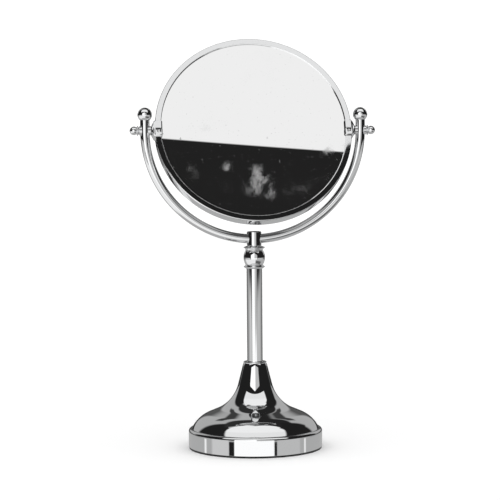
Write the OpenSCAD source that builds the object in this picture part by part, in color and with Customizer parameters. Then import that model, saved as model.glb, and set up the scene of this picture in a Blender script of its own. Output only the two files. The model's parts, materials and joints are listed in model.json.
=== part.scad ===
// Extendable shaving mirror: a round two-sided mirror on a bent yoke and a telescopic post.
// The origin is the centre of the base's underside. The mirror's plain side faces -Y.

/* [Base] */
// Outer diameter of the base
base_d = 137.6; // [118:0.2:170]
// Height of the base's neck above the table
base_h = 89; // [74:0.5:106]
// Height of the straight rim band's rounded shoulder above the table
band_top = 20.5; // [19:0.5:25]
// Radius of the rim band's rounded shoulder
band_round = 3.2; // [1:0.1:3.5]
// Width of the flat ledge between the shoulder and the dome
ledge_w = 0.2; // [0.1:0.1:2]
// How far the neck's top stands out from the post
neck_proud = 3.6; // [2.5:0.1:7]
// Lean of the neck's straight side from the vertical
neck_slope = 14.3; // [8:0.1:20]
// Radius of the hollow curve below the neck
flare_r = 38; // [20:1:42]
// Fall of the dome where the hollow curve meets the shoulder
dome_slope = 23; // [15:1:30]
// Radius of the dome's shoulder
dome_r = 33; // [20:1:36]
// Fall of the dome where it meets the ledge
dome_end_slope = 63; // [55:1:75]
// Thickness of the spun shell
shell_t = 1.5; // [1:0.1:2]
// Width of the shell's edge where it is rolled in under the plate
lip_w = 5; // [3:0.5:8]
// Thickness of the rolled edge
lip_t = 1.2; // [0.8:0.1:1.5]
// Thickness of the felt under the rolled edge
felt_t = 1.6; // [1:0.1:3]
// Thickness of the base plate
plate_t = 2; // [1.5:0.1:3]
// Height of the cast weight
weight_h = 15; // [14.5:0.5:16]
// Diameter of the circle of the plate's screws
plate_screw_pcd = 84; // [60:1:100]
// Diameter of the plate screws
plate_screw_d = 4; // [3:0.5:5]
// Length of the plate screws
plate_screw_len = 11; // [8:1:12]

/* [Post] */
// Outer diameter of the fixed post
post_d = 16; // [15:0.1:18]
// Wall of the fixed post
post_wall = 1.1; // [0.8:0.1:1.4]
// Length of post that shows between the base and the collar
post_show = 95.6; // [80:0.5:120]
// Wall of the brass bush between the two posts
bush_wall = 0.65; // [0.5:0.05:1]
// Wall of the inner post
inner_wall = 1.1; // [0.9:0.1:1.4]
// Space left below the inner post when it is pushed right in
end_room = 14; // [2:1:60]
// Length of the bush in the post's top
bush_len = 16; // [10:1:22]
// Diameter of the bolt that holds the post to the weight
post_bolt_d = 8; // [6:0.5:8]

/* [Collar] */
// How far the ball-shaped lock collar stands out from the post
ball_proud = 2.95; // [2.6:0.05:4.5]
// How far the collar's two thin flanges stand out from the post
flange_proud = 2.8; // [2.5:0.05:5]
// How far the neck between the ball and each flange stands out from the post
ball_neck_proud = 1.1; // [1:0.05:2]
// Height of the ball between its necks
ball_h = 14.2; // [13:0.1:17]
// Height of the upper flange
upper_flange_h = 4.8; // [4:0.1:6]
// Height of the lower flange
lower_flange_h = 4.2; // [4:0.1:6]
// Height of the split collet
collet_h = 6.5; // [5:0.1:8]

/* [Yoke] */
// Outer diameter of the yoke tube
tube_d = 9.5; // [8:0.1:11]
// Wall of the yoke tube
tube_wall = 1.2; // [0.9:0.1:1.5]
// Gap between the mirror's rim and each arm
arm_gap = 5.25; // [4.5:0.05:9]
// Wall of the socket that joins the yoke to the inner post
socket_wall = 1.2; // [0.8:0.1:3.8]
// Gap between the socket's top and the turning mirror
socket_gap = 2; // [1.5:0.1:4]
// Thickness of metal between the inner post's end and the yoke tube
socket_floor = 0.55; // [0.3:0.05:2.5]
// Diameter of the screw that holds the yoke to the inner post
yoke_screw_d = 5; // [4:0.5:6]
// Diameter of the balls on the yoke's ends
finial_d = 14.7; // [12:0.1:18]
// Height of each ball's middle above the tilt axis
finial_rise = 16.2; // [15.5:0.1:22]
// Length of each ball's spigot in the tube
spigot_len = 6; // [3:0.5:6]

/* [Mirror] */
// Outer diameter of the mirror's rim
rim_d = 202; // [165:1:245]
// Depth of the rim from face to face
rim_depth = 12.5; // [12:0.5:16]
// Wall of the rim band
rim_wall = 1; // [0.8:0.1:1.2]
// Width of the bezel that shows round each glass
bezel_w = 6.2; // [5.5:0.1:8]
// Thickness of the bezels
bezel_t = 1.2; // [0.8:0.1:1.6]
// Space between the edge of each glass and the rim's outside
glass_inset = 3.4; // [3.2:0.1:4]
// Thickness of each glass
glass_t = 3; // [2:0.1:3]
// Depth of the magnifying glass's hollow face
magnifier_sag = 2.38; // [1:0.02:2.6]
// Thickness of the backing disc
backing_t = 1.2; // [0.8:0.1:1.4]
// Angle that the mirror leans back at rest
lean = 22; // [0:1:35]

/* [Pivots] */
// Half the height of each rim bracket's clip plates
clip_half = 8.9; // [7:0.1:12]
// Width of each clip plate across the rim's face
clip_w = 8; // [7:0.1:9]
// Thickness of the clip plates
clip_t = 1.3; // [1:0.1:2]
// Thickness of the bracket's web outside the rim
web_t = 0.6; // [0.5:0.1:1]
// Width of the bracket's tapered boss where it meets the arm
boss_tip_d = 8.4; // [7:0.1:10]
// Diameter of the rivet through each bracket
rivet_d = 2; // [1.5:0.1:2]
// Diameter of the rivet's heads
rivet_head_d = 6.4; // [4:0.1:7]
// How far the rivet sits below the tilt axis
rivet_drop = 3.3; // [0:0.1:5]
// Diameter of the pivot screws
pivot_d = 4; // [3:0.1:4.5]
// Wall of the bush in each arm
pivot_bush_wall = 1.2; // [0.8:0.1:1.4]
// Step between the yoke tube and the narrower saddle washers, all round
saddle_step = 0.1; // [0.05:0.05:0.8]
// Thickness of the saddle washers beyond the tube
saddle_t = 0.85; // [0.5:0.05:1.2]
// Thickness of the friction washers
washer_t = 0.6; // [0.4:0.1:0.8]
// Diameter of the ball on each knob
knob_ball_d = 8.7; // [7:0.1:12]
// Diameter of the thin flange on each knob
knob_flange_d = 10.4; // [9:0.1:14]
// Distance from the knob's inner face to the middle of its ball
knob_reach = 5.4; // [4.5:0.1:8]

/* [Fits] */
// Gap all round a shaft that turns or slides in its bore
run_gap = 0.05; // [0.03:0.01:0.09]
// Gap all round a part that passes a bore without touching
pass_gap = 0.3; // [0.2:0.05:0.4]
// Gap between faces that turn past each other
face_gap = 0.1; // [0.05:0.01:0.2]

/* [Hidden] */
$fn = 96;
// Facets of the very large circle of the magnifying glass
big_fn = 3600;
// Cutters run past faces by this much
cut = 0.5;
chrome = [0.82, 0.83, 0.85];
steel = [0.62, 0.63, 0.66];
iron = [0.24, 0.24, 0.26];
brass = [0.80, 0.66, 0.35];
glass = [0.75, 0.78, 0.80];
rubber = [0.12, 0.12, 0.12];

// Base levels and radii
base_r = base_d / 2;
ledge_r = base_r - band_round - ledge_w;
lip_top = felt_t + lip_t;
plate_top = lip_top + plate_t;
weight_top = plate_top + weight_h;
band_in_r = base_r - shell_t;
plate_gap = 0.6;
weight_gap = 1.4;
weight_slope = 4;
plate_screw_r = plate_screw_d / 2;
plate_screw_head_r = plate_screw_d * 0.9;
plate_screw_slot = [plate_screw_d * 0.8, plate_screw_d * 0.2, 1];

// Post levels and radii
post_r = post_d / 2;
post_in_r = post_r - post_wall;
inner_r = post_in_r - bush_wall - run_gap;
inner_in_r = inner_r - inner_wall;
post_seat = 4;
post_bottom = weight_top - post_seat;
ferrule_z = base_h + post_show;
ferrule_grip = 3;
post_top = ferrule_z + ferrule_grip;
foot_len = 18;
foot_top = post_bottom + foot_len;
foot_cap = 4;
bolt_r = post_bolt_d / 2;
bolt_head_r = bolt_r * 1.85;
bolt_head_h = 4.8;
bolt_washer_t = 1.5;
bolt_washer_r = bolt_head_r + 0.8;
bolt_well_r = bolt_head_r + 1.6;
bolt_well_top = plate_top + 0.2 + bolt_head_h + bolt_washer_t;

// Collar levels
ball_z = ferrule_z + lower_flange_h + face_gap;
upper_neck_z = ball_z + ball_h;
collar_top = upper_neck_z + upper_flange_h;
thread_top = ball_z + ball_h * 0.53;
collet_z = thread_top + face_gap;
cone_top = collet_z + collet_h + face_gap;
ball_r = post_r + ball_proud;
flange_r = post_r + flange_proud;
ball_neck_r = post_r + ball_neck_proud;
thread_step = 0.1;
thread_r = post_r - thread_step;
collet_root_r = thread_r - 0.2;
collet_tip_r = inner_r + run_gap + 0.5;
collet_gap = 0.15;
// Thickness of a flange's rim
tip_t = 0.5;

// Inner post levels
bush_z = post_top - bush_len;
journal_r = inner_in_r - 0.6;
stop_washer_t = 1.2;
stop_head_t = 2;
ring_h = 10;
ring_z = foot_top + end_room + stop_head_t + stop_washer_t + face_gap;
shoulder_t = 2;
inner_bottom = ring_z + ring_h + face_gap + shoulder_t;
plug_len = 10;
stop_screw_r = journal_r * 0.36;
stop_screw_head_r = journal_r * 0.68;

// Yoke levels
tube_r = tube_d / 2;
tube_in_r = tube_r - tube_wall;
rim_r = rim_d / 2;
yoke_r = rim_r + arm_gap + tube_r;
socket_z = collar_top + pass_gap;
post_into_socket = 1.6;
inner_top = socket_z + post_into_socket;
tube_z = inner_top + socket_floor + tube_r;
pivot_z = tube_z + yoke_r;
rim_sweep_r = norm([rim_r, rim_depth / 2]);
socket_r = inner_r + socket_wall;
socket_top = pivot_z - rim_sweep_r - socket_gap;
top_plug_len = 14;
yoke_screw_r = yoke_screw_d / 2;
yoke_screw_head_r = inner_in_r - 0.85;
yoke_screw_head_h = 4;
yoke_screw_top = socket_top - 1.8;
finial_r = finial_d / 2;
seat_drop = sqrt(pow(finial_r, 2) - pow(tube_r, 2));
arm_top = finial_rise - seat_drop;

// Mirror depths, measured from the middle of the rim
face_y = rim_depth / 2;
glass_y = face_y - bezel_t;
glass_back_y = glass_y - glass_t;
glass_r = rim_r - glass_inset;
band_in = rim_r - rim_wall;
gasket_w = 3;
magnifier_r = (pow(glass_r, 2) + pow(magnifier_sag, 2)) / (2 * magnifier_sag);
backing_gap = 0.2;
glass_play = 0.02;

// Pivot places along X
arm_in_x = yoke_r - tube_r;
arm_out_x = yoke_r + tube_r;
saddle_wrap = 1.6;
washer_x = arm_in_x - saddle_t - washer_t;
boss_tip_x = washer_x - face_gap;
knob_x = arm_out_x + saddle_t + face_gap;
knob_ball_x = knob_x + knob_reach;
pivot_r = pivot_d / 2;
pivot_bush_r = pivot_r + pivot_bush_wall;
saddle_r = tube_r - saddle_step;
knob_neck_r = pivot_r + 0.9;
pivot_tip_x = rim_r - rim_wall * 0.7;
clip_out_x = rim_r + web_t;
clip_in_x = clip_out_x - clip_w;
rivet_x = (band_in + glass_r) / 2;
rivet_head_t = 0.9;
knob_tip_t = 0.3;

// ---------- Helpers ----------

// A tube or rod between two heights
module rod(r, z0, z1) {
    translate([0, 0, z0]) cylinder(r = r, h = z1 - z0);
}

module ring(r_out, r_in, z0, z1) {
    difference() {
        rod(r_out, z0, z1);
        rod(r_in, z0 - cut, z1 + cut);
    }
}

// Turns a profile drawn as (radius, height) about the vertical axis
module lathe() {
    rotate_extrude() children();
}

// The same for a part whose axis runs along X; height becomes distance from the middle
module lathe_x() {
    rotate([0, 90, 0]) rotate_extrude() children();
}

// The same for a part of the mirror head; height runs from the front face to the back
module lathe_y() {
    rotate([-90, 0, 0]) rotate_extrude() children();
}

// A disc or rod along the mirror's own front-to-back direction
module rod_y(r, y0, y1) {
    rotate([-90, 0, 0]) rod(r, y0, y1);
}

module ring_y(r_out, r_in, y0, y1) {
    difference() {
        rod_y(r_out, y0, y1);
        rod_y(r_in, y0 - cut, y1 + cut);
    }
}

// Places a part at the tilt axis
module at_pivot() {
    translate([0, 0, pivot_z]) children();
}

// Places a part of the mirror head, leaning back as it does at rest
module on_mirror() {
    at_pivot() rotate([-lean, 0, 0]) children();
}

// Repeats a part on the left side
module both_sides() {
    children();
    mirror([1, 0, 0]) children();
}

// A cylinder along X between two distances from the middle
module rod_x(r, x0, x1) {
    translate([x0, 0, 0]) rotate([0, 90, 0]) cylinder(r = r, h = x1 - x0);
}

// ---------- Base ----------

// Direction down the profile where it falls at a degrees, and the direction square to it
function fall(a) = [cos(a), -sin(a)];
function outward(a) = [sin(a), cos(a)];
// Shift along a bend of radius r from its shallow end to its steep end
function bend(r, shallow, steep) = r * [sin(steep) - sin(shallow), cos(steep) - cos(shallow)];

neck_fall = 90 - neck_slope;
neck_top = [post_r + neck_proud, base_h];
dome_end = [ledge_r, band_top];
span = dome_end - neck_top;
bends = bend(flare_r, dome_slope, neck_fall) + bend(dome_r, dome_slope, dome_end_slope);

// Lengths along the neck line and along the dome line that add up to v
function along_neck(v) = -(sin(dome_slope) * v[0] + cos(dome_slope) * v[1]) / sin(neck_fall - dome_slope);
function along_dome(v) = (cos(neck_fall) * v[1] + sin(neck_fall) * v[0]) / sin(neck_fall - dome_slope);

// Both bends shrink together on a base too small for them
bend_fit = min(1, along_dome(span) / along_dome(bends));
flare_fit = flare_r * bend_fit;
dome_fit = dome_r * bend_fit;
neck_end = neck_top + along_neck(span - bends * bend_fit) * fall(neck_fall);
flare_end = neck_end + bend(flare_fit, dome_slope, neck_fall);
dome_start = flare_end + along_dome(span - bends * bend_fit) * fall(dome_slope);
flare_mid = neck_end + flare_fit * outward(neck_fall);
dome_mid = dome_start - dome_fit * outward(dome_slope);

// Half section of the bell, solid to the axis, drawn t inside the outer surface
module bell_section(t) {
    up = outward(dome_slope);
    end_up = outward(dome_end_slope);
    top_z = base_h - t;
    foot = dome_end - t * end_up;
    neck_foot = neck_end - t * outward(neck_fall);
    neck_len = (top_z - neck_foot[1]) / sin(neck_fall);
    difference() {
        polygon([
            [0, 0], [foot[0], 0], foot, dome_mid, dome_start - t * up,
            flare_end - t * up, flare_mid, neck_foot, neck_foot - neck_len * fall(neck_fall), [0, top_z]
        ]);
        translate(flare_mid) circle(r = flare_fit + t);
    }
    // The wedge starts a little below the bend's middle, so that it overlaps the rest
    wedge_foot = dome_mid - 0.1 * (up + end_up);
    intersection() {
        translate(dome_mid) circle(r = dome_fit - t);
        polygon([
            wedge_foot, wedge_foot + 2 * dome_fit * up,
            wedge_foot + 2 * dome_fit * (up + end_up), wedge_foot + 2 * dome_fit * end_up
        ]);
    }
}

// Half section of the rim band with its rounded shoulder, drawn t inside
module band_section(t) {
    square([ledge_r, band_top - t]);
    square([base_r - t, band_top - band_round]);
    translate([ledge_r, 0]) square([ledge_w, band_top - t]);
    translate([base_r - band_round, band_top - band_round]) circle(r = band_round - t);
}

module base_shell() {
    color(chrome) lathe() difference() {
        union() {
            bell_section(0);
            band_section(0);
        }
        difference() {
            union() {
                bell_section(shell_t);
                band_section(shell_t);
            }
            square([base_r, lip_top]);
        }
        square([base_r - shell_t - lip_w, lip_top + cut]);
        translate([0, -cut]) square([base_r + cut, felt_t + cut]);
        square([post_r, base_h + cut]);
    }
}

module base_weight() {
    r_low = band_in_r - weight_gap;
    slope_z = min(weight_top - 1, band_top - band_round - 1);
    color(iron) difference() {
        lathe() polygon([
            [0, plate_top], [r_low, plate_top], [r_low, slope_z],
            [r_low - weight_slope, weight_top], [0, weight_top]
        ]);
        rod(bolt_well_r, plate_top - cut, bolt_well_top);
        rod(bolt_r, plate_top, weight_top + cut);
        rod(post_r, post_bottom, weight_top + cut);
        plate_screw_places() rod(plate_screw_r, lip_top - cut, lip_top + plate_screw_len);
    }
}

// The three places round the axis that take the plate's screws
module plate_screw_places() {
    for (turn = [30 : 120 : 270]) rotate(turn) translate([plate_screw_pcd / 2, 0, 0]) children();
}

// A countersunk screw, head down
module plate_screw() {
    head_h = plate_screw_head_r - plate_screw_r;
    lathe() polygon([
        [0, lip_top], [plate_screw_head_r, lip_top], [plate_screw_r, lip_top + head_h],
        [plate_screw_r, lip_top + plate_screw_len], [0, lip_top + plate_screw_len]
    ]);
}

module base_plate() {
    color(steel) difference() {
        rod(band_in_r - plate_gap, lip_top, plate_top);
        plate_screw_places() plate_screw();
    }
}

module base_felt() {
    color("dimgray") lathe() {
        square([base_r - plate_gap, felt_t]);
        square([base_r - shell_t - lip_w, lip_top]);
    }
}

module base_screws() {
    color(steel) plate_screw_places() difference() {
        plate_screw();
        for (turn = [0, 90]) rotate(turn) translate([0, 0, lip_top])
            cube([plate_screw_slot[0], plate_screw_slot[1], 2 * plate_screw_slot[2]], center = true);
    }
}

// ---------- Fixed post ----------

module post_bolt() {
    head_z = bolt_well_top - bolt_washer_t;
    color(steel) {
        translate([0, 0, head_z - bolt_head_h]) cylinder(r = bolt_head_r, h = bolt_head_h, $fn = 6);
        rod(bolt_r, head_z, foot_top - foot_cap);
    }
}

module post_washer() {
    color(steel) ring(bolt_washer_r, bolt_r, bolt_well_top - bolt_washer_t, bolt_well_top);
}

module post_foot() {
    color(brass) difference() {
        rod(post_in_r, post_bottom, foot_top);
        rod(bolt_r, post_bottom - cut, foot_top - foot_cap);
    }
}

module outer_post() {
    color(chrome) ring(post_r, post_in_r, post_bottom, post_top);
}

module guide_bush() {
    color(brass) ring(post_in_r, inner_r + run_gap, bush_z, post_top);
}

// ---------- Collar ----------

// Lower flange, with the threaded spigot that the lock collar screws on
module post_ferrule() {
    top = ferrule_z + lower_flange_h;
    tip_z = ferrule_z + lower_flange_h * 0.38;
    foot_r = post_r + 0.5;
    hollow_r = 2.6;
    hollow_mid = [flange_r + 0.3, top + 0.9];
    bore_r = inner_r + pass_gap;
    color(chrome) difference() {
        union() {
            lathe() difference() {
                polygon([
                    [0, ferrule_z], [foot_r, ferrule_z], [flange_r, tip_z],
                    [flange_r, tip_z + tip_t], [ball_neck_r, top], [0, top]
                ]);
                translate(hollow_mid) circle(r = hollow_r);
            }
            rod(thread_r, ferrule_z, thread_top);
        }
        rod(post_r, ferrule_z - cut, post_top);
        rod(bore_r, ferrule_z - cut, thread_top + cut);
    }
}

module collet() {
    slot_w = 0.8;
    solid_ring = 1.6;
    color("wheat") difference() {
        lathe() polygon([
            [inner_r + run_gap, collet_z], [collet_root_r, collet_z],
            [collet_tip_r, collet_z + collet_h], [inner_r + run_gap, collet_z + collet_h]
        ]);
        for (turn = [0, 90]) rotate(turn)
            translate([-thread_r, -slot_w / 2, collet_z + solid_ring])
                cube([2 * thread_r, slot_w, collet_h]);
    }
}

// Ball-shaped collar: turning it squeezes the collet on the inner post
module lock_collar() {
    half = ball_h / 2;
    sag = ball_r - ball_neck_r;
    side_r = (half * half + sag * sag) / (2 * sag);
    tip_z = upper_neck_z + upper_flange_h * 0.62;
    hollow_r = 2.9;
    hollow_mid = [flange_r + 0.9, upper_neck_z + 0.1];
    color(chrome) lathe() difference() {
        union() {
            intersection() {
                translate([ball_r - side_r, ball_z + half]) circle(r = side_r);
                translate([0, ball_z]) square([ball_r, ball_h]);
            }
            difference() {
                polygon([
                    [0, upper_neck_z - cut], [ball_neck_r, upper_neck_z - cut], [ball_neck_r, upper_neck_z],
                    [flange_r, tip_z], [flange_r, tip_z + tip_t],
                    [socket_r, collar_top], [0, collar_top]
                ]);
                translate(hollow_mid) circle(r = hollow_r);
            }
        }
        square([inner_r + pass_gap, collar_top + cut]);
        translate([0, ball_z - cut]) square([thread_r + run_gap, collet_z - ball_z + cut]);
        polygon([
            [0, collet_z], [collet_root_r + collet_gap, collet_z],
            [collet_tip_r + collet_gap, cone_top], [0, cone_top]
        ]);
    }
}

// ---------- Inner post ----------

// Slides in the fixed post; the inner post turns in it
module guide_ring() {
    color("white") ring(post_in_r - run_gap, journal_r + run_gap, ring_z, ring_z + ring_h);
}

module inner_post() {
    color(chrome) ring(inner_r, inner_in_r, inner_bottom, inner_top);
}

module stop_plug() {
    shoulder_z = inner_bottom - shoulder_t;
    color(brass) difference() {
        union() {
            rod(journal_r, ring_z - face_gap, shoulder_z + cut);
            rod(inner_r, shoulder_z, inner_bottom);
            rod(inner_in_r, inner_bottom - cut, inner_bottom + plug_len);
        }
        rod(stop_screw_r, ring_z - face_gap - cut, ring_z + ring_h);
    }
}

module stop_washer() {
    top = ring_z - face_gap;
    color(steel) ring(inner_r, stop_screw_r, top - stop_washer_t, top);
}

module stop_screw() {
    top = ring_z - face_gap - stop_washer_t;
    color(steel) {
        rod(stop_screw_head_r, top - stop_head_t, top);
        rod(stop_screw_r, top - cut, ring_z + ring_h);
    }
}

module top_plug() {
    plug_z = inner_top - top_plug_len;
    color(brass) difference() {
        rod(inner_in_r, plug_z, inner_top);
        rod(yoke_screw_r, plug_z - cut, inner_top + cut);
        rod(yoke_screw_head_r, plug_z - cut, plug_z + yoke_screw_head_h);
    }
}

module yoke_screw() {
    plug_z = inner_top - top_plug_len;
    color(steel) {
        rod(yoke_screw_head_r, plug_z, plug_z + yoke_screw_head_h);
        rod(yoke_screw_r, plug_z + yoke_screw_head_h - cut, yoke_screw_top);
    }
}

// ---------- Yoke ----------

// The bent arm as a solid rod of radius r, rising by top above the tilt axis
module arm_rod(r, top) {
    at_pivot() {
        rotate([-90, 0, 0]) rotate_extrude(angle = 180, $fn = 180) translate([yoke_r, 0]) circle(r = r, $fn = 48);
        both_sides() translate([yoke_r, 0, 0]) cylinder(r = r, h = top, $fn = 48);
    }
}

module yoke_tube() {
    color(chrome) difference() {
        arm_rod(tube_r, arm_top);
        arm_rod(tube_in_r, arm_top + cut);
        at_pivot() both_sides() rod_x(pivot_bush_r, arm_in_x - cut, arm_out_x + cut);
        rod(yoke_screw_r, tube_z - tube_d, tube_z + tube_d);
    }
}

module socket() {
    edge = 0.6;
    color(chrome) difference() {
        lathe() polygon([
            [0, socket_z], [socket_r, socket_z],
            [socket_r, socket_top - edge], [socket_r - edge, socket_top], [0, socket_top]
        ]);
        arm_rod(tube_r, cut);
        rod(inner_r, socket_z - cut, inner_top);
        rod(yoke_screw_r, socket_z - cut, yoke_screw_top);
    }
}

// Ball on the right arm's end, seated on the tube's rim
module finial() {
    at_pivot() translate([yoke_r, 0, 0]) lathe() {
        intersection() {
            translate([0, finial_rise]) circle(r = finial_r);
            translate([0, arm_top]) square(2 * finial_r);
        }
        translate([0, arm_top - spigot_len]) square([tube_in_r, spigot_len + cut]);
    }
}

module finial_right() { color(chrome) finial(); }
module finial_left() { color(chrome) mirror([1, 0, 0]) finial(); }

// ---------- Pivots ----------

module pivot_bushes() {
    color(brass) at_pivot() both_sides() difference() {
        rod_x(pivot_bush_r, arm_in_x, arm_out_x);
        rod_x(pivot_r + run_gap, arm_in_x - cut, arm_out_x + cut);
    }
}

// A washer that fits the arm's round side, between two distances from the middle
module saddle(x0, x1) {
    difference() {
        at_pivot() rod_x(saddle_r, x0, x1);
        arm_rod(tube_r, tube_d);
        at_pivot() {
            rod_x(pivot_r + pass_gap, x0 - cut, x1 + cut);
            rod_x(pivot_bush_r, arm_in_x, arm_out_x);
        }
    }
}

module outer_saddles() {
    color(chrome) both_sides() saddle(arm_out_x - saddle_wrap, arm_out_x + saddle_t);
}

module inner_saddles() {
    color(chrome) both_sides() saddle(arm_in_x - saddle_t, arm_in_x + saddle_wrap);
}

module friction_washers() {
    color(steel) at_pivot() both_sides() difference() {
        rod_x(saddle_r, washer_x, washer_x + washer_t);
        rod_x(pivot_r + pass_gap, washer_x - cut, washer_x + washer_t + cut);
    }
}

module pivot_screw() {
    at_pivot() rod_x(pivot_r, pivot_tip_x, knob_ball_x);
}

module pivot_screw_right() { color(steel) pivot_screw(); }
module pivot_screw_left() { color(steel) mirror([1, 0, 0]) pivot_screw(); }

module knob() {
    tip_x = knob_x + knob_reach * 0.28;
    ball_foot_x = knob_ball_x - knob_ball_d / 4;
    at_pivot() difference() {
        lathe_x() {
            intersection() {
                translate([0, knob_ball_x]) circle(r = knob_ball_d / 2);
                translate([0, knob_x]) square(knob_reach * 2);
            }
            polygon([
                [0, knob_x], [knob_neck_r, knob_x], [knob_flange_d / 2, tip_x],
                [knob_flange_d / 2, tip_x + knob_tip_t], [knob_neck_r, tip_x + 4 * knob_tip_t],
                [knob_neck_r, ball_foot_x], [0, ball_foot_x]
            ]);
        }
        rod_x(pivot_r, knob_x - cut, knob_ball_x);
    }
}

module knob_right() { color(chrome) knob(); }
module knob_left() { color(chrome) mirror([1, 0, 0]) knob(); }

// ---------- Mirror head ----------

module rim_band() {
    color(chrome) on_mirror() difference() {
        ring_y(rim_r, band_in, -glass_y, glass_y);
        both_sides() rod_x(pivot_r + pass_gap, glass_r, rim_r + cut);
    }
}

// A flat ring that holds one glass; y0 is its face nearer the front
module bezel(y0) {
    difference() {
        ring_y(rim_r, rim_r - bezel_w, y0, y0 + bezel_t);
        rivet_places() rod_y(rivet_d / 2, y0 - cut, y0 + bezel_t + cut);
    }
}

module front_bezel() { color(chrome) on_mirror() bezel(-face_y); }
module rear_bezel() { color(chrome) on_mirror() bezel(glass_y); }

module front_glass() {
    color(glass) on_mirror() rod_y(glass_r, -glass_y, -glass_back_y);
}

// Half section of a ball whose surface is hollow_y deep where it meets the glass's edge
module hollow_section(hollow_y) {
    edge_rise = sqrt(pow(magnifier_r, 2) - pow(glass_r, 2));
    translate([0, hollow_y + edge_rise]) circle(r = magnifier_r, $fn = big_fn);
}

// Bent glass of even thickness, hollow towards the back
module rear_glass() {
    color(glass) on_mirror() lathe_y() intersection() {
        difference() {
            hollow_section(glass_back_y);
            hollow_section(glass_y - glass_play);
        }
        translate([0, -rim_depth]) square([glass_r, 2 * rim_depth]);
    }
}

module backing_disc() {
    color("tan") on_mirror()
        rod_y(glass_r - gasket_w - backing_gap, -glass_back_y, backing_t - glass_back_y);
}

// Keeps the glasses apart; its rear face follows the bent glass
module glass_gasket() {
    color(rubber) on_mirror() lathe_y() difference() {
        translate([glass_r - gasket_w, -glass_back_y]) square([gasket_w, 2 * glass_back_y]);
        hollow_section(glass_back_y - glass_play);
    }
}

// Where each bracket's rivet goes through
module rivet_places() {
    both_sides() translate([rivet_x, 0, -rivet_drop]) children();
}

// Outline of a block with half width h that tapers to the boss's tip
module taper(h) {
    polygon([
        [clip_in_x, -h], [clip_out_x, -h], [boss_tip_x, -boss_tip_d / 2],
        [boss_tip_x, boss_tip_d / 2], [clip_out_x, h], [clip_in_x, h]
    ]);
}

// A clip astride the rim, with a four-sided tapered boss that takes the pivot screw
module bracket() {
    half_depth = face_y + clip_t;
    difference() {
        intersection() {
            translate([0, 0, -clip_half]) linear_extrude(2 * clip_half) taper(half_depth);
            translate([0, half_depth, 0]) rotate([90, 0, 0]) linear_extrude(2 * half_depth) taper(clip_half);
        }
        rod_y(rim_r, -face_y, face_y);
        rod_x(pivot_r + run_gap, rim_r - cut, boss_tip_x + cut);
        translate([rivet_x, 0, -rivet_drop]) rod_y(rivet_d / 2, -rim_depth, rim_depth);
    }
}

module bracket_right() { color(chrome) on_mirror() bracket(); }
module bracket_left() { color(chrome) on_mirror() mirror([1, 0, 0]) bracket(); }

module bracket_rivets() {
    reach = face_y + clip_t;
    color(chrome) on_mirror() rivet_places() {
        rod_y(rivet_d / 2, -reach, reach);
        rod_y(rivet_head_d / 2, -reach - rivet_head_t, -reach);
        rod_y(rivet_head_d / 2, reach, reach + rivet_head_t);
    }
}

base_shell();
base_weight();
base_plate();
base_felt();
base_screws();
post_bolt();
post_washer();
post_foot();
outer_post();
guide_bush();
post_ferrule();
collet();
lock_collar();
guide_ring();
inner_post();
stop_plug();
stop_washer();
stop_screw();
top_plug();
yoke_screw();
socket();
yoke_tube();
finial_left();
finial_right();
pivot_bushes();
outer_saddles();
inner_saddles();
friction_washers();
rim_band();
front_bezel();
rear_bezel();
front_glass();
rear_glass();
backing_disc();
glass_gasket();
bracket_left();
bracket_right();
bracket_rivets();
knob_left();
knob_right();
pivot_screw_left();
pivot_screw_right();
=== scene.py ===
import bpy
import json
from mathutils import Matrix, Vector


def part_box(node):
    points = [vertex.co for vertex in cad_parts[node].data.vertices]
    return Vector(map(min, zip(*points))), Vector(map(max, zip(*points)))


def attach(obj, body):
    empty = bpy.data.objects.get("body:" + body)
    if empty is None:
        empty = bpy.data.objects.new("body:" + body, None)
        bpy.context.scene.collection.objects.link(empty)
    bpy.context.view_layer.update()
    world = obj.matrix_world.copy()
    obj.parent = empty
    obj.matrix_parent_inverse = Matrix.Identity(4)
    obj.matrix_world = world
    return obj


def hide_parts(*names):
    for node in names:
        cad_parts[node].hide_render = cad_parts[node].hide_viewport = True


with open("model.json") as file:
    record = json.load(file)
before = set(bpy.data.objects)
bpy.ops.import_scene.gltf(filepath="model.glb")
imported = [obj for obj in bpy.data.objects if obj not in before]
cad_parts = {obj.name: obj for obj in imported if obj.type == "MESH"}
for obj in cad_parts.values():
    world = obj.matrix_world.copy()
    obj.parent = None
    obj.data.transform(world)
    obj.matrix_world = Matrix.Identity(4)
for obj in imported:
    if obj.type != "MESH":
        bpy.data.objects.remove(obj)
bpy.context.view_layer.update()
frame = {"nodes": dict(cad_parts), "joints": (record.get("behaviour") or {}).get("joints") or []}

import json
import math

import bmesh
import bpy
from mathutils import Matrix, Vector

MM = 0.001
nodes = frame["nodes"]


# ---------- Places and sizes, taken from the frame ----------

def size(node):
    low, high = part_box(node)
    return high - low


def low_z(node):
    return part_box(node)[0].z


def high_z(node):
    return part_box(node)[1].z


PIVOT = Vector(next(j for j in frame["joints"] if j["name"] == "mirror_tilt")["pos_m"])
RIM_R = size("front_bezel").x / 2
GLASS_R = size("front_glass").x / 2
POST_R = size("outer_post").x / 2
INNER_R = size("inner_post").x / 2
BASE_R = size("base_shell").x / 2
TUBE_R = size("yoke_tube").y / 2
YOKE_R = size("yoke_tube").x / 2 - TUBE_R
FINIAL_R = size("finial_left").y / 2
SOCKET_R = size("socket").x / 2

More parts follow.
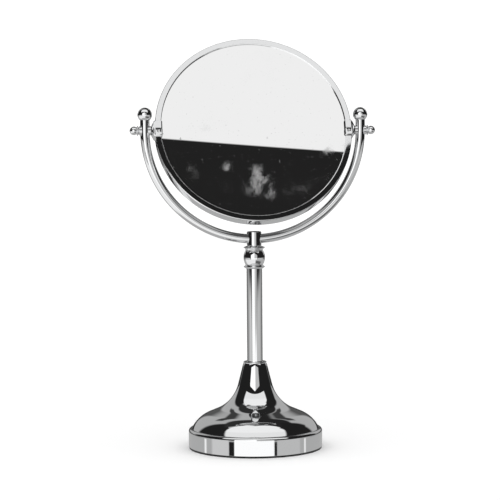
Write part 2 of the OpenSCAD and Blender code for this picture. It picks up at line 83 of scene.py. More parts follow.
REAR_TO_FRONT = sum(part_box("front_bezel"), Vector()) - sum(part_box("rear_bezel"), Vector())
LEAN = math.atan2(REAR_TO_FRONT.z, -REAR_TO_FRONT.y)
RIM_HALF = 6.25 * MM
BEZEL_T = 1.2 * MM
BEZEL_W = 6.2 * MM
GLASS_T = 3 * MM
MIRROR_TURN = Matrix.Translation(PIVOT) @ Matrix.Rotation(-LEAN, 4, "X")
DISH_TURN = MIRROR_TURN @ Matrix.Rotation(math.radians(-90), 4, "X")
SIDES = {"left": -1, "right": 1}


# ---------- Outlines ----------

def polar(middle, radius, angle):
    """Point at an angle, in degrees from the outward direction, round a middle (radius, height)."""
    a = math.radians(angle)
    return (middle[0] + radius * math.cos(a), middle[1] + radius * math.sin(a))


def arc(middle, radius, start, end, steps):
    return [polar(middle, radius, start + (end - start) * i / steps) for i in range(steps + 1)]


def soften(points, radius, steps=5):
    """Rounds the corners of a closed outline; a point beside each bend keeps the rest shaded flat."""
    out = []
    for i, p in enumerate(points):
        before = Vector(points[i - 1]) - Vector(p)
        after = Vector(points[(i + 1) % len(points)]) - Vector(p)
        reach = min(radius, before.length * 0.45, after.length * 0.45)
        if p[0] < 1e-7 or reach < 1e-6 or before.angle(after) > math.radians(160):
            out.append(p)
            continue
        start = Vector(p) + before.normalized() * reach
        end = Vector(p) + after.normalized() * reach
        beside = reach * 1.08
        out.append(tuple(Vector(p) + before.normalized() * beside))
        for k in range(steps + 1):
            t = k / steps
            q = start * (1 - t) ** 2 + Vector(p) * 2 * t * (1 - t) + end * t ** 2
            out.append((q.x, q.y))
        out.append(tuple(Vector(p) + after.normalized() * beside))
    return out


# ---------- Mesh makers ----------

def add_object(name, bm, material, smooth_angle=35):
    """Makes an object of a bmesh, smooth but for its sharp edges."""
    bmesh.ops.remove_doubles(bm, verts=bm.verts, dist=1e-7)
    bmesh.ops.recalc_face_normals(bm, faces=bm.faces)
    mesh = bpy.data.meshes.new(name)
    for face in bm.faces:
        face.smooth = True
    for edge in bm.edges:
        if len(edge.link_faces) == 2 and edge.calc_face_angle(0) > math.radians(smooth_angle):
            edge.smooth = False
    bm.to_mesh(mesh)
    bm.free()
    mesh.materials.append(material)
    piece = bpy.data.objects.new(name, mesh)
    bpy.context.scene.collection.objects.link(piece)
    return piece


def add_lathe(bm, outline, turn, segments):
    """Adds a closed outline of (radius, height) points turned about Z, then placed by turn."""
    rings = []
    step = 2 * math.pi / segments
    for radius, height in outline:
        turns = [0] if radius < 1e-7 else [step * k for k in range(segments)]
        rings.append([
            bm.verts.new(turn @ Vector((radius * math.cos(a), radius * math.sin(a), height)))
            for a in turns
        ])
    for i, a in enumerate(rings):
        b = rings[(i + 1) % len(rings)]
        if len(a) == 1 and len(b) == 1:
            continue
        for k in range(segments):
            n = (k + 1) % segments
            corners = [a[k % len(a)], a[n % len(a)], b[n % len(b)], b[k % len(b)]]
            corners = [v for j, v in enumerate(corners) if v not in corners[:j]]
            bm.faces.new(corners)


def lathe(name, outline, material, turn=Matrix.Identity(4), segments=192):
    bm = bmesh.new()
    add_lathe(bm, outline, turn, segments)
    return add_object(name, bm, material)


def sweep(name, path, radius, material, around=72):
    """A round bar of a radius along a path that lies in the XZ plane."""
    bm = bmesh.new()
    across = Vector((0, 1, 0))
    rings = []
    for i, p in enumerate(path):
        ahead = Vector(path[min(i + 1, len(path) - 1)]) - Vector(path[max(i - 1, 0)])
        side = Vector((ahead.z, 0, -ahead.x)).normalized()
        turns = [2 * math.pi * k / around for k in range(around)]
        rings.append([
            bm.verts.new(Vector(p) + radius * (math.cos(a) * side + math.sin(a) * across))
            for a in turns
        ])
    for a, b in zip(rings, rings[1:]):
        for k in range(around):
            n = (k + 1) % around
            bm.faces.new((a[k], a[n], b[n], b[k]))
    bm.faces.new(rings[0])
    bm.faces.new(rings[-1])
    return add_object(name, bm, material)


def apply_modifiers(piece, smooth_angle=35):
    """Keeps the shape that the modifiers give, and drops the modifiers."""
    shown = bpy.context.evaluated_depsgraph_get()
    bm = bmesh.new()
    bm.from_mesh(bpy.data.meshes.new_from_object(piece.evaluated_get(shown)))
    piece.modifiers.clear()
    for face in bm.faces:
        face.smooth = True
    limit = math.radians(smooth_angle)
    for edge in bm.edges:
        edge.smooth = len(edge.link_faces) != 2 or edge.calc_face_angle(0) < limit
    bm.to_mesh(piece.data)
    bm.free()


def place(piece, body, slot, *replaced):
    """Rides a piece on a body and hides the CAD nodes that it stands for; the slot argument is not used.
    """
    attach(piece, body)
    if replaced:
        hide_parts(*replaced)
    return piece


# ---------- Materials ----------

def math_node(tree, operation, *inputs, clamp=False):
    """A maths node fed with numbers or sockets; gives its output socket."""
    node = tree.nodes.new("ShaderNodeMath")
    node.operation = operation
    node.use_clamp = clamp
    for socket, value in zip(node.inputs, inputs):
        if isinstance(value, (int, float)):
            socket.default_value = value
        else:
            tree.links.new(value, socket)
    return node.outputs[0]


def smooth_step(tree, value, low, high):
    """0 at low, 1 at high and a smooth change between, whichever of the two is the larger."""
    node = tree.nodes.new("ShaderNodeMapRange")
    node.interpolation_type = "SMOOTHSTEP"
    tree.links.new(value, node.inputs["Value"])
    node.inputs["From Min"].default_value = min(low, high)
    node.inputs["From Max"].default_value = max(low, high)
    node.inputs["To Min"].default_value = 0 if high > low else 1
    node.inputs["To Max"].default_value = 1 if high > low else 0
    return node.outputs["Result"]


def new_material(name, **values):
    """A material with one Principled shader, its plain values set on its own sockets."""
    material = bpy.data.materials.new(name)
    material.use_nodes = True
    tree = material.node_tree
    shader = tree.nodes["Principled BSDF"]
    for key, value in values.items():
        shader.inputs[key.replace("_", " ")].default_value = value
    return material, tree, shader


def noise(tree, place_socket, scale, stretch=(1, 1, 1), detail=3.0, rough=0.5):
    """A noise texture in the object's own space, with a stretch along its axes."""
    mapping = tree.nodes.new("ShaderNodeMapping")
    mapping.inputs["Scale"].default_value = stretch
    tree.links.new(place_socket, mapping.inputs["Vector"])
    node = tree.nodes.new("ShaderNodeTexNoise")
    node.inputs["Scale"].default_value = scale
    node.inputs["Detail"].default_value = detail
    node.inputs["Roughness"].default_value = rough
    tree.links.new(mapping.outputs[0], node.inputs["Vector"])
    return node.outputs["Fac"]


def object_place(tree):
    return tree.nodes.new("ShaderNodeTexCoord").outputs["Object"]


def effect_group(name, inputs, outputs):
    """An empty node group with named float inputs and outputs."""
    group = bpy.data.node_groups.new(name, "ShaderNodeTree")
    for label, value in inputs.items():
        socket = group.interface.new_socket(label, in_out="INPUT", socket_type="NodeSocketFloat")
        socket.default_value = value
    for label in outputs:
        group.interface.new_socket(label, in_out="OUTPUT", socket_type="NodeSocketFloat")
    given = group.nodes.new("NodeGroupInput").outputs
    out = group.nodes.new("NodeGroupOutput").inputs
    return group, given, out


def make_handling():
    """Marks of handling: fine wipe lines, soft finger smudges and settled dust."""
    group, given, out = effect_group(
        "handling_marks", {"Smudges": 0.3, "Wipe Lines": 0.3, "Dust": 0.1}, ["Haze", "Height"])
    here = object_place(group)
    smudge = smooth_step(group, noise(group, here, 38, detail=4), 0.52, 0.74)
    streak = smooth_step(group, noise(group, here, 160, stretch=(1, 1, 9), detail=2), 0.6, 0.78)
    dust = smooth_step(group, noise(group, here, 2600, detail=1), 0.74, 0.8)
    haze = math_node(group, "MULTIPLY", smudge, given["Smudges"])
    haze = math_node(group, "MULTIPLY_ADD", streak, given["Wipe Lines"], haze)
    haze = math_node(group, "MULTIPLY_ADD", dust, given["Dust"], haze)
    group.links.new(math_node(group, "MINIMUM", haze, 1.0), out["Haze"])
    group.links.new(math_node(group, "MULTIPLY", streak, given["Wipe Lines"]), out["Height"])
    return group


def make_grain():
    """A fine even grain with broad patches, for cast, woven and moulded stuff."""
    scales = {"Fine": 900.0, "Broad": 60.0}
    group, given, out = effect_group("fine_grain", scales, ["Grain", "Patches"])
    here = object_place(group)
    for label, scale_name in (("Grain", "Fine"), ("Patches", "Broad")):
        node = group.nodes.new("ShaderNodeTexNoise")
        node.inputs["Detail"].default_value = 4
        group.links.new(here, node.inputs["Vector"])
        group.links.new(given[scale_name], node.inputs["Scale"])
        group.links.new(node.outputs["Fac"], out[label])
    return group


def use_group(tree, group, **values):
    node = tree.nodes.new("ShaderNodeGroup")
    node.node_tree = group
    for label, value in values.items():
        node.inputs[label.replace("_", " ")].default_value = value
    return node.outputs


def blend_colours(tree, mask, low, high):
    mix = tree.nodes.new("ShaderNodeMix")
    mix.data_type = "RGBA"
    tree.links.new(mask, mix.inputs[0])
    mix.inputs[6].default_value = (*low, 1)
    mix.inputs[7].default_value = (*high, 1)
    return mix.outputs[2]


def add_bump(tree, shader, height, depth, strength=1.0):
    bump = tree.nodes.new("ShaderNodeBump")
    bump.inputs["Distance"].default_value = depth
    bump.inputs["Strength"].default_value = strength
    tree.links.new(height, bump.inputs["Height"])
    tree.links.new(bump.outputs[0], shader.inputs["Normal"])


handling = make_handling()
grain = make_grain()


def polished_metal(name, colour, dull, rough, smudges, lines, dust=0.1):
    """Bright metal whose polish is dulled a little where it has been handled."""
    material, tree, shader = new_material(name, Metallic=1.0)
    marks = use_group(tree, handling, Smudges=smudges, Wipe_Lines=lines, Dust=dust)
    tree.links.new(blend_colours(tree, marks["Haze"], colour, dull), shader.inputs["Base Color"])
    roughness = math_node(tree, "MULTIPLY_ADD", marks["Haze"], 0.25, rough)
    tree.links.new(roughness, shader.inputs["Roughness"])
    add_bump(tree, shader, marks["Height"], 0.000004)
    return material


def grained(name, low, high, rough, depth, fine, broad, metallic=0.0, **values):
    """Stuff with an even grain: castings, felt, plastic, card and rubber."""
    material, tree, shader = new_material(name, Metallic=metallic, **values)
    marks = use_group(tree, grain, Fine=fine, Broad=broad)
    tree.links.new(blend_colours(tree, marks["Patches"], low, high), shader.inputs["Base Color"])
    roughness = math_node(tree, "MULTIPLY_ADD", marks["Grain"], 0.2, rough)
    tree.links.new(roughness, shader.inputs["Roughness"])
    add_bump(tree, shader, marks["Grain"], depth)
    return material


# Finger smudges on the glass: across and up as shares of its radius, reach in metres, strength
SMUDGES = [
    (0.0, -0.6, 27 * MM, 0.42),
    (-0.3, -0.43, 11 * MM, 0.42),
    (0.12, -0.72, 14 * MM, 0.4),
    (0.5, -0.66, 12 * MM, 0.25),
]


def make_silvered_glass(name):
    """A silvered glass: clear reflection, a few cloudy finger smudges, faint wisps and specks."""
    material, tree, shader = new_material(name, Metallic=1.0)
    here = object_place(tree)
    smears = noise(tree, here, 75, stretch=(1, 1, 0.6), detail=7, rough=0.65)
    wisps = smooth_step(tree, smears, 0.3, 0.72)
    veil = smooth_step(tree, noise(tree, here, 22, detail=6, rough=0.6), 0.5, 0.85)
    specks = smooth_step(tree, noise(tree, here, 1000, detail=0), 0.83, 0.85)
    lines = noise(tree, here, 300, stretch=(1, 1, 0.06), detail=1)
    scratches = smooth_step(tree, lines, 0.74, 0.82)
    haze = math_node(tree, "MULTIPLY", veil, 0.16)
    for across, up, reach, strength in SMUDGES:
        offset = tree.nodes.new("ShaderNodeVectorMath")
        offset.operation = "DISTANCE"
        spot = MIRROR_TURN @ Vector((across * GLASS_R, 0, up * GLASS_R))
        tree.links.new(here, offset.inputs[0])
        offset.inputs[1].default_value = spot
        smudge = smooth_step(tree, offset.outputs["Value"], reach, reach * 0.1)
        smudge = math_node(tree, "MULTIPLY", smudge, wisps)
        haze = math_node(tree, "MAXIMUM", haze, math_node(tree, "MULTIPLY", smudge, strength))
    haze = math_node(tree, "MAXIMUM", haze, math_node(tree, "MULTIPLY", specks, 0.3))
    haze = math_node(tree, "MAXIMUM", haze, math_node(tree, "MULTIPLY", scratches, 0.08))
    tree.links.new(math_node(tree, "MULTIPLY", haze, 0.7), shader.inputs["Roughness"])
    colour = blend_colours(tree, haze, (0.92, 0.92, 0.92), (0.82, 0.82, 0.82))
    tree.links.new(colour, shader.inputs["Base Color"])
    return material


CHROME = (0.81, 0.815, 0.82)
chrome = polished_metal("polished_chrome", CHROME, (0.72, 0.72, 0.72), 0.03, 0.10, 0.12)
mirror_silver = make_silvered_glass("silvered_glass")
steel = polished_metal("plain_steel", (0.55, 0.55, 0.56), (0.4, 0.4, 0.4), 0.22, 0.5, 0.6)
brass = polished_metal("turned_brass", (0.78, 0.6, 0.28), (0.5, 0.36, 0.16), 0.2, 0.5, 0.5)
iron = grained("cast_iron", (0.035, 0.035, 0.038), (0.07, 0.068, 0.066), 0.6, 0.0003, 700, 50,
               metallic=0.6)
felt = grained("black_felt", (0.006, 0.006, 0.006), (0.016, 0.016, 0.016), 0.8, 0.0005, 2600, 220,
               Sheen_Weight=0.15)
nylon = grained("white_nylon", (0.72, 0.71, 0.67), (0.8, 0.79, 0.75), 0.35, 0.00003, 900, 60)
card = grained("backing_card", (0.32, 0.24, 0.15), (0.42, 0.33, 0.22), 0.75, 0.0001, 1500, 90)
rubber = grained("black_gasket", (0.012, 0.012, 0.012), (0.03, 0.03, 0.03), 0.6, 0.00005, 1200, 80)


# ---------- Base ----------

def base_outline():
    """Outer half section of the spun base: neck, hollow flare, dome, rounded shoulder and band."""
    def fall(a):
        return Vector((math.cos(a), -math.sin(a)))

    def outward(a):
        return Vector((math.sin(a), math.cos(a)))

    def bend(r, shallow, steep):
        return r * (outward(steep) - outward(shallow))

    neck_fall, dome_slope, end_slope = (math.radians(a) for a in (75.7, 23, 63))
    flare_r, dome_r = 38 * MM, 33 * MM
    shoulder_r, band_top, ledge_w = 3.2 * MM, 20.5 * MM, 0.2 * MM
    low = low_z("base_shell")
    top = Vector((POST_R + 3.6 * MM, high_z("base_shell")))
    end = Vector((BASE_R - shoulder_r - ledge_w, band_top))
    spare = end - top - bend(flare_r, dome_slope, neck_fall) - bend(dome_r, dome_slope, end_slope)
    spread = math.sin(neck_fall - dome_slope)
    neck_len = -(math.sin(dome_slope) * spare.x + math.cos(dome_slope) * spare.y) / spread
    dome_len = (math.cos(neck_fall) * spare.y + math.sin(neck_fall) * spare.x) / spread
    neck_end = top + neck_len * fall(neck_fall)
    flare_mid = neck_end + flare_r * outward(neck_fall)
    flare_end = neck_end + bend(flare_r, dome_slope, neck_fall)
    dome_start = flare_end + dome_len * fall(dome_slope)
    dome_mid = dome_start - dome_r * outward(dome_slope)
    deg = math.degrees

    lip_r = 0.9 * MM
    lip = arc((top.x - lip_r + 0.3 * MM, top.y - lip_r), lip_r, 90, -50, 10)
    neck = [tuple(top.lerp(neck_end, i / 14)) for i in range(2, 14)]
    flare = arc(flare_mid, flare_r, 270 - deg(neck_fall), 270 - deg(dome_slope), 48)
    slope = [tuple(flare_end.lerp(dome_start, i / 6)) for i in range(1, 6)]
    dome = arc(dome_mid, dome_r, 90 - deg(dome_slope), 90 - deg(end_slope), 48)
    shoulder = arc((BASE_R - shoulder_r, band_top - shoulder_r), shoulder_r, 90, 0, 20)
    band = [(BASE_R, low + (band_top - shoulder_r - low) * i / 5) for i in range(4, 0, -1)]
    return lip + neck + flare + slope + dome + shoulder + band


def make_base():
    """The spun base: its show side, the edge rolled in under the plate, and the plain inside."""
    low, top = low_z("base_shell"), high_z("base_shell")
    wall, lip_w, lip_t, edge = 1.5 * MM, 6.5 * MM, 1.2 * MM, 0.5 * MM
    seat = POST_R + 0.02 * MM
    rolled = [
        (BASE_R, low + edge), (BASE_R - edge, low), (BASE_R - lip_w, low),
        (BASE_R - lip_w, low + lip_t), (BASE_R - wall, low + lip_t),
    ]
    inside = [
        (BASE_R - wall, 16 * MM), (BASE_R - 6 * MM, 19 * MM), (42 * MM, 32 * MM), (24 * MM, 42 * MM),
        (13 * MM, 66 * MM), (seat, top - 2 * MM), (seat, top),
    ]
    shell = lathe("spun_base", base_outline() + rolled + inside, chrome, segments=288)
    place(shell, "base", "chrome", "base_shell")


# ---------- Post and collar ----------

def make_posts():
    """The fixed post and the one that slides in it: thin tubes with softened ends."""
    wall, runs = 1.1 * MM, 12
    posts = (("fixed_post", "outer_post", POST_R, "base"), ("sliding_post", "inner_post", INNER_R, "yoke"))
    for name, node, radius, body in posts:
        low, top = low_z(node), high_z(node)
        tube = [(radius - wall, low), (radius, low)]
        tube += [(radius, low + (top - low) * i / runs) for i in range(1, runs)]
        tube += [(radius, top), (radius - wall, top)]
        place(lathe(name, soften(tube, 0.3 * MM), chrome), body, "chrome", node)


def make_ferrule():
    """Lower flange with the threaded spigot that the ball collar screws on."""
    low, high = low_z("post_ferrule"), high_z("post_ferrule")
    flange_r = size("post_ferrule").x / 2
    seat_r = POST_R + 0.01 * MM
    neck_r, spigot_r, bore_r = POST_R + 1.1 * MM, POST_R - 0.1 * MM, INNER_R + 0.3 * MM
    top = low + 4.2 * MM
    tip = low + 1.6 * MM
    outline = [(seat_r, low), (POST_R + 0.5 * MM, low), (flange_r, tip), (flange_r, tip + 0.5 * MM)]
    outline += arc((flange_r + 0.3 * MM, top + 0.9 * MM), 2.6 * MM, 242, 186, 10)
    outline += [(neck_r, top), (spigot_r, top)]
    turns, root_r = 6, spigot_r - 0.35 * MM
    pitch = (high - top) / (turns + 1)
    for i in range(turns):
        outline += [(spigot_r, top + pitch * (i + 0.4)), (root_r, top + pitch * (i + 0.9))]
    step = low + 3 * MM
    outline += [(spigot_r, high), (bore_r, high), (bore_r, step), (seat_r, step)]
    piece = lathe("flanged_ferrule", soften(outline, 0.12 * MM, 3), chrome)
    place(piece, "base", "chrome", "post_ferrule")


def make_ball_collar():
    """Ball-shaped lock collar with its upper flange, hollow inside for the collet."""
    low, high = low_z("lock_collar"), high_z("lock_collar")
    ball_r = size("lock_collar").x / 2
    half = 7.1 * MM
    neck_r = POST_R + 1.1 * MM
    sag = ball_r - neck_r
    side_r = (half * half + sag * sag) / (2 * sag)
    swing = math.degrees(math.asin(half / side_r))
    neck_z = low + 2 * half
    flange_r = size("post_ferrule").x / 2
    tip = neck_z + 3 * MM
    outline = arc((ball_r - side_r, low + half), side_r, -swing, swing, 48)
    outline += arc((flange_r + 0.9 * MM, neck_z + 0.1 * MM), 2.9 * MM, 172, 105, 12)
    outline += [(flange_r, tip), (flange_r, tip + 0.5 * MM), (SOCKET_R, high)]
    bore_r = INNER_R + 0.3 * MM
    outline += [
        (bore_r, high), (bore_r, low + 14.2 * MM), (POST_R - 0.05 * MM, low + 7.6 * MM),
        (POST_R - 0.05 * MM, low),
    ]
    piece = lathe("ball_collar", soften(outline, 0.15 * MM, 3), chrome)
    place(piece, "lock_collar", "chrome", "lock_collar")


# ---------- Yoke ----------

def make_socket():
    """The short plug on the inner post that the yoke passes through, bored for the post."""
    low, high = low_z("socket"), high_z("socket")
    edge = 0.7 * MM
    outline = [(0, low), (SOCKET_R, low), (SOCKET_R, (low + high) / 2), (SOCKET_R, high - edge),
               (SOCKET_R - edge, high), (0, high)]
    piece = lathe("yoke_socket", soften(outline, 0.35 * MM), chrome)
    bore = lathe("bore_cutter", [(0, low - MM), (INNER_R, low - MM), (INNER_R, low + 1.6 * MM),
                                 (0, low + 1.6 * MM)], chrome)
    cut = piece.modifiers.new("bore", "BOOLEAN")
    cut.object = bore
    cut.solver = "EXACT"
    apply_modifiers(piece)
    bpy.data.objects.remove(bore)
    place(piece, "yoke", "chrome", "socket")


def make_yoke_tube():
    """One bent tube: two short straight arms and a half circle round the mirror."""
    top = high_z("yoke_tube")
    path = [(-YOKE_R, 0, top + (PIVOT.z - top) * i / 6) for i in range(6)]
    for i in range(181):
        a = math.pi * i / 180
        path.append((-YOKE_R * math.cos(a), 0, PIVOT.z - YOKE_R * math.sin(a)))
    path += [(YOKE_R, 0, PIVOT.z + (top - PIVOT.z) * i / 6) for i in range(1, 7)]
    place(sweep("bent_yoke", path, TUBE_R, chrome), "yoke", "chrome", "yoke_tube")


def make_finials():
    """Balls on the ends of the arms, each on a short spigot that goes into the tube."""
    seat = high_z("yoke_tube")
    middle = high_z("finial_left") - FINIAL_R
    start = math.degrees(math.asin((seat - middle) / FINIAL_R))
    spigot_r = TUBE_R - 1.3 * MM
    outline = [(0, seat - 5 * MM), (spigot_r, seat - 5 * MM), (spigot_r, seat)]
    outline += arc((0, middle), FINIAL_R, start, 88, 48) + [(0, middle + FINIAL_R)]
    for side, sign in SIDES.items():
        turn = Matrix.Translation((sign * YOKE_R, 0, 0))
        piece = lathe("finial_ball_" + side, outline, chrome, turn)
        place(piece, "yoke", "chrome", "finial_" + side)


# ---------- Pivots ----------

def side_turn(sign):
    """Takes the lathe's axis to the tilt axis, pointing out of one side."""
    return Matrix.Translation(PIVOT) @ Matrix.Rotation(math.radians(90) * sign, 4, "Y")


def make_knobs():
    """Small ball knobs, each with a thin dished flange behind the ball."""
    ball_r = 4.35 * MM
    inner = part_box("knob_right")[0].x
    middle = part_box("knob_right")[1].x - ball_r
    flange_r = size("knob_right").y / 2
    neck_r = 2.9 * MM
    bore_r = 1.98 * MM
    tip = inner + 1.5 * MM
    meet = math.degrees(math.asin(-(1.6 * MM) / ball_r))
    outline = [(bore_r, inner), (neck_r, inner)]
    outline += arc((flange_r + 0.9 * MM, inner - 1.5 * MM), 3.2 * MM, 155, 112, 8)
    outline += [(flange_r, tip), (flange_r, tip + 0.3 * MM)]
    outline += arc((flange_r + 0.5 * MM, tip + 2.9 * MM), 2.6 * MM, 248, 186, 8)
    outline += arc((0, middle), ball_r, meet - 22, 88, 40) + [(0, middle + ball_r)]
    outline += [(0, middle), (bore_r, middle)]
    for side, sign in SIDES.items():
        piece = lathe("ball_knob_" + side, outline, chrome, side_turn(sign), segments=128)
        place(piece, "knob_" + side, "chrome", "knob_" + side)


def rounded_pad(bm, turn, half_x, half_z, thick, corner, dimple):
    """A square pad with round corners, a chamfered edge and a dimple in its face."""
    steps = 64
    levels = [(1.0, 0.0), (1.0, 0.3), (0.84, 1.0), (0.5, 1.0)]
    for i in range(1, 8):
        sunk = dimple * (0.5 - 0.5 * math.cos(math.pi * i / 8))
        levels.append((0.5 - 0.5 * i / 8, 1.0 - sunk))
    rings = []
    for scale, lift in levels:
        ring = []
        for k in range(steps):
            a = 2 * math.pi * k / steps
            c, s = math.cos(a), math.sin(a)
            x = math.copysign(abs(c) ** corner, c) * half_x * scale
            z = math.copysign(abs(s) ** corner, s) * half_z * scale
            ring.append(bm.verts.new(turn @ Vector((x, -thick * lift, z))))
        rings.append(ring)
    for a, b in zip(rings, rings[1:]):
        for k in range(steps):
            n = (k + 1) % steps
            bm.faces.new((a[k], a[n], b[n], b[k]))
    bm.faces.new(rings[0])
    bm.faces.new(rings[-1])


CLIP_HALF = 8.9 * MM
CLIP_T = 1.3 * MM


def make_brackets():
    """Clips astride the rim, each with a four-sided tapered boss towards its arm."""
    clip_out = RIM_R + 0.6 * MM
    clip_in = clip_out - 8 * MM
    tip_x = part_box("bracket_right")[1].x
    tip = 4.2 * MM
    half_y = RIM_HALF + CLIP_T
    for side, sign in SIDES.items():
        bm = bmesh.new()
        rings = []
        stations = ((clip_in, half_y, CLIP_HALF), (clip_out, half_y, CLIP_HALF), (tip_x, tip, tip))
        for x, y, z in stations:
            corners = ((-y, -z), (y, -z), (y, z), (-y, z))
            rings.append([bm.verts.new((sign * x, b, c)) for b, c in corners])
        for a, b in zip(rings, rings[1:]):
            for k in range(4):
                n = (k + 1) % 4
                bm.faces.new((a[k], a[n], b[n], b[k]))
        bm.faces.new(rings[0])
        bm.faces.new(rings[-1])
        bmesh.ops.transform(bm, matrix=MIRROR_TURN, verts=bm.verts)
        piece = add_object("rim_clip_" + side, bm, chrome, smooth_angle=10)
        bevel = piece.modifiers.new("soft", "BEVEL")
        bevel.width = 1.1 * MM
        bevel.segments = 1
        bevel.limit_method = "ANGLE"
        bevel.angle_limit = math.radians(12)
        rim = [(0, -RIM_HALF), (RIM_R, -RIM_HALF), (RIM_R, RIM_HALF), (0, RIM_HALF)]
        cutter = lathe("rim_cutter", rim, chrome, DISH_TURN, segments=720)
        cut = piece.modifiers.new("rim", "BOOLEAN")
        cut.object = cutter
        cut.solver = "EXACT"
        apply_modifiers(piece, smooth_angle=10)
        bpy.data.objects.remove(cutter)
        place(piece, "mirror", "chrome", "bracket_" + side)


def make_rivets():
    """Square-headed rivets with a dimple, front and back of each clip."""
    rivet_x = (RIM_R - MM + GLASS_R) / 2
    drop = 4.1 * MM
    to_face = Matrix.Translation((0, -RIM_HALF - CLIP_T, 0))
    bm = bmesh.new()
    for sign in SIDES.values():
        middle = MIRROR_TURN @ Matrix.Translation((sign * (rivet_x - 1.2 * MM), 0, -drop))
        for half_turn in (0, math.pi):
            turn = middle @ Matrix.Rotation(half_turn, 4, "Z") @ to_face
            rounded_pad(bm, turn, 4.1 * MM, 4.2 * MM, 0.9 * MM, 0.42, 0.7)
    place(add_object("clip_rivets", bm, chrome), "mirror", "chrome", "bracket_rivets")


# ---------- Mirror head ----------

def make_rim():
    """The rim band and the two bezels, with a fine chamfer round each glass."""
    seam = RIM_HALF - BEZEL_T
    band = [(RIM_R - MM, -seam), (RIM_R, -seam), (RIM_R, 0), (RIM_R, seam), (RIM_R - MM, seam)]
    hoop = lathe("rim_hoop", soften(band, 0.2 * MM), chrome, DISH_TURN, 360)
    place(hoop, "mirror", "chrome", "rim_band")
    inner, edge = RIM_R - BEZEL_W, 0.9 * MM
    chamfer_w, chamfer_t = 0.6 * MM, 0.35 * MM
    section = [(inner, seam), (inner, RIM_HALF - chamfer_t), (inner + chamfer_w, RIM_HALF)]
    section += [(RIM_R - edge, RIM_HALF)]
    section += arc((RIM_R - edge, RIM_HALF - edge), edge, 70, 10, 3)
    section += [(RIM_R, RIM_HALF - edge), (RIM_R, seam)]
    for label, sign in (("front", -1), ("rear", 1)):
        ring = [(r, sign * h) for r, h in section]
        piece = lathe(label + "_rim_ring", soften(ring, 0.1 * MM, 3), chrome, DISH_TURN, 360)
        place(piece, "mirror", "chrome", label + "_bezel")


def make_glasses():
    """The plain glass in front and the slightly dished magnifying one behind."""
    front = -(RIM_HALF - BEZEL_T)
    flat = [(0, front), (GLASS_R * 0.5, front), (GLASS_R, front), (GLASS_R, front + GLASS_T),
            (0, front + GLASS_T)]
    plain = lathe("plain_glass", soften(flat, 0.4 * MM), mirror_silver, DISH_TURN, 256)
    place(plain, "mirror", "mirror_glass", "front_glass")
    sag = 2.38 * MM
    hollow_r = (GLASS_R ** 2 + sag ** 2) / (2 * sag)
    steps = 40
    radii = [GLASS_R * i / steps for i in range(steps + 1)]
    face = [(r, -front - sag + hollow_r - math.sqrt(hollow_r ** 2 - r ** 2)) for r in radii]
    back = [(r, z - GLASS_T) for r, z in reversed(face)]
    bent = lathe("magnifying_glass", face + back, mirror_silver, DISH_TURN, 256)
    place(bent, "mirror", "mirror_glass", "rear_glass")


# ---------- Pieces kept as they come ----------

KEPT = {
    felt: ["base_felt"],
    iron: ["base_weight"],
    steel: ["base_plate", "base_screws", "post_bolt", "post_washer", "stop_washer", "stop_screw",
            "yoke_screw", "friction_washers", "pivot_screw_left", "pivot_screw_right"],
    brass: ["post_foot", "guide_bush", "stop_plug", "top_plug", "pivot_bushes"],
    nylon: ["guide_ring", "collet"],
    chrome: ["outer_saddles", "inner_saddles"],
    card: ["backing_disc"],
    rubber: ["glass_gasket"],
}


def finish_kept_nodes():
    """Gives the CAD nodes that stay their own material."""
    for material, names in KEPT.items():
        for name in names:
            for slot in nodes[name].material_slots:
                slot.material = material


# ---------- Studio ----------

CAMERA_BEARING = math.radians(-7)


def make_camera():
    """A long lens a little to one side, looking slightly down."""
    camera = bpy.data.cameras.new("camera")
    camera.lens = 115.8
    camera.sensor_width = 36
    camera.clip_start = 0.05
    view = bpy.data.objects.new("camera", camera)
    distance, height = 1.65, 0.283
    across, back = math.sin(CAMERA_BEARING), -math.cos(CAMERA_BEARING)
    view.location = (across * distance, back * distance, height)
    aside, down, tilt = 0.15, 2.755, -0.4
    heading = Matrix.Rotation(CAMERA_BEARING + math.radians(aside), 3, "Z")
    pitch = Matrix.Rotation(math.radians(90 - down), 3, "X")
    roll = Matrix.Rotation(math.radians(tilt), 3, "Z")
    view.rotation_euler = (heading @ pitch @ roll).to_euler()
    bpy.context.scene.collection.objects.link(view)
    bpy.context.scene.camera = view


